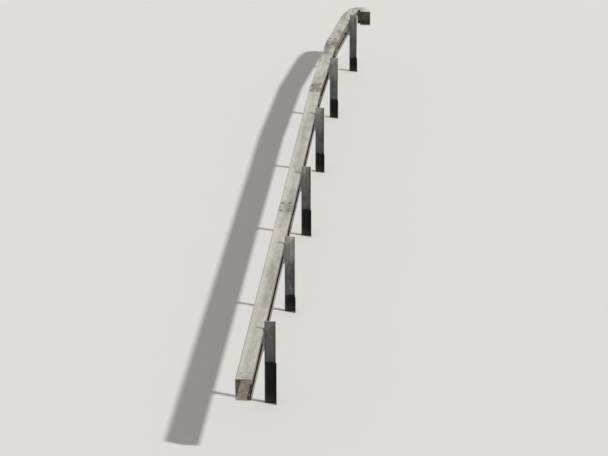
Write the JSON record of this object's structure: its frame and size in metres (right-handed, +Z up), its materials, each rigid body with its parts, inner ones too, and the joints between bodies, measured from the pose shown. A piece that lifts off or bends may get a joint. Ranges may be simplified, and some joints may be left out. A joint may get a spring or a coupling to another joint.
{
  "type": "open box beam safety barrier",
  "caption": "Run of roadside safety barrier: an open-backed box beam in spliced lengths on Z posts, turned away from traffic at its far end and curled back on itself.",
  "frame": {"origin": "middle of the first post's web at ground level, on the post's cut foot", "axes": "+Y along the barrier from the near end to the curled end, +X from the traffic face to the back, +Z up"},
  "size_m": [0.5771, 14.0085, 0.79],
  "materials": {
    "beam_steel": "weathered galvanised, matt",
    "sleeve_steel": "weathered galvanised, matt",
    "post_steel": "weathered galvanised, dark coat near the ground",
    "bracket_steel": "galvanised, satin"
  },
  "bodies": {
    "root": {"beam_near": "beam_steel", "beam_middle": "beam_steel", "beam_short": "beam_steel", "beam_end": "beam_steel", "return_end": "beam_steel", "splice_near": "sleeve_steel", "splice_middle": "sleeve_steel", "splice_far": "sleeve_steel", "post_1": "post_steel", "post_2": "post_steel", "post_3": "post_steel", "post_4": "post_steel", "post_5": "post_steel", "post_6": "post_steel", "bracket_1": "bracket_steel", "bracket_2": "bracket_steel", "bracket_3": "bracket_steel", "bracket_4": "bracket_steel", "bracket_5": "bracket_steel", "bracket_6": "bracket_steel", "clamp_1": "bracket_steel", "clamp_2": "bracket_steel", "clamp_3": "bracket_steel", "clamp_4": "bracket_steel", "clamp_5": "bracket_steel", "clamp_6": "bracket_steel"}
  },
  "joints": []
}
